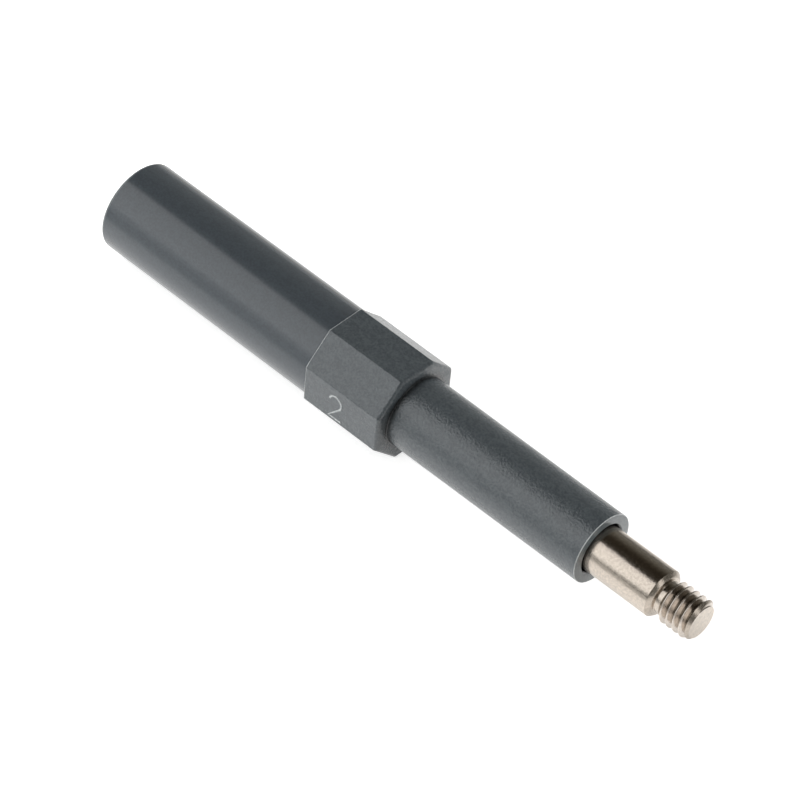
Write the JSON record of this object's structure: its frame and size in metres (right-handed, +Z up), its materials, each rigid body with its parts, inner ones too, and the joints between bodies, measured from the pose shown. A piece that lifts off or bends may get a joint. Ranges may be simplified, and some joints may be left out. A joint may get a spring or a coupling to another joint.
{
  "type": "terminal test adapter",
  "caption": "Insulated socket for a 4 mm test plug on a threaded metal stud, with an octagonal collar for turning it into a terminal's tapped hole.",
  "frame": {"origin": "under the middle of the adapter's length, on the surface that the lowest flat of its collar rests on", "axes": "+X along the axis towards the threaded stud, +Z up, away from the flat that it rests on"},
  "size_m": [0.0684, 0.0094, 0.0094],
  "materials": {
    "sleeve_plastic": "moulded polyamide, satin on the rear tube and spark-eroded texture on the collar and front",
    "plated_stud": "turned brass, bright nickel plating",
    "plated_socket": "turned brass, bright nickel plating"
  },
  "bodies": {
    "root": {"insulating_sleeve": "sleeve_plastic", "contact_stud": "plated_stud", "socket_bush": "plated_socket"}
  },
  "joints": []
}
